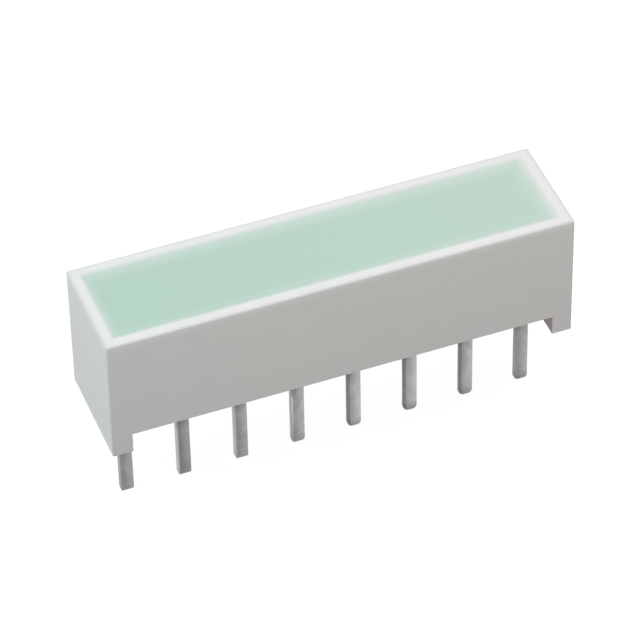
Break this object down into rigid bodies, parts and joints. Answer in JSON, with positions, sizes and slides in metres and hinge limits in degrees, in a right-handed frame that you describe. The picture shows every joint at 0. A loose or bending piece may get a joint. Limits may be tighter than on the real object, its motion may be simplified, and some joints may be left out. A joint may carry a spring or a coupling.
{
  "type": "led light bar",
  "caption": "Slim white block with a flush pale green light window in its top, a foot at each end and a row of straight solder leads below; a uniform light source for a circuit board.",
  "frame": {"origin": "middle of the row of leads, in the plane of the feet that sit on the board", "axes": "+X along the bar, +Y towards its back, +Z out of the light face; the leads point along -Z"},
  "size_m": [0.0202, 0.005, 0.0105],
  "materials": {
    "white_housing": "white pigmented moulding with a fine matt skin",
    "tinted_epoxy": "milky green translucent casting epoxy with a satin face",
    "dipped_lead": "dull grey solder dipped over stamped copper alloy",
    "chip": "sawn semiconductor crystal",
    "die_adhesive": "cured silver-filled adhesive",
    "bond_wire": "drawn gold wire"
  },
  "bodies": {
    "root": {"housing": "white_housing", "tinted_epoxy": "tinted_epoxy", "cathode_lead_1": "dipped_lead", "cathode_lead_2": "dipped_lead", "cathode_lead_3": "dipped_lead", "cathode_lead_4": "dipped_lead", "anode_lead_1": "dipped_lead", "anode_lead_2": "dipped_lead", "anode_lead_3": "dipped_lead", "anode_lead_4": "dipped_lead", "led_chip_1": "chip", "led_chip_2": "chip", "led_chip_3": "chip", "led_chip_4": "chip", "die_attach_1": "die_adhesive", "die_attach_2": "die_adhesive", "die_attach_3": "die_adhesive", "die_attach_4": "die_adhesive", "bond_wire_1": "bond_wire", "bond_wire_2": "bond_wire", "bond_wire_3": "bond_wire", "bond_wire_4": "bond_wire"}
  },
  "joints": []
}
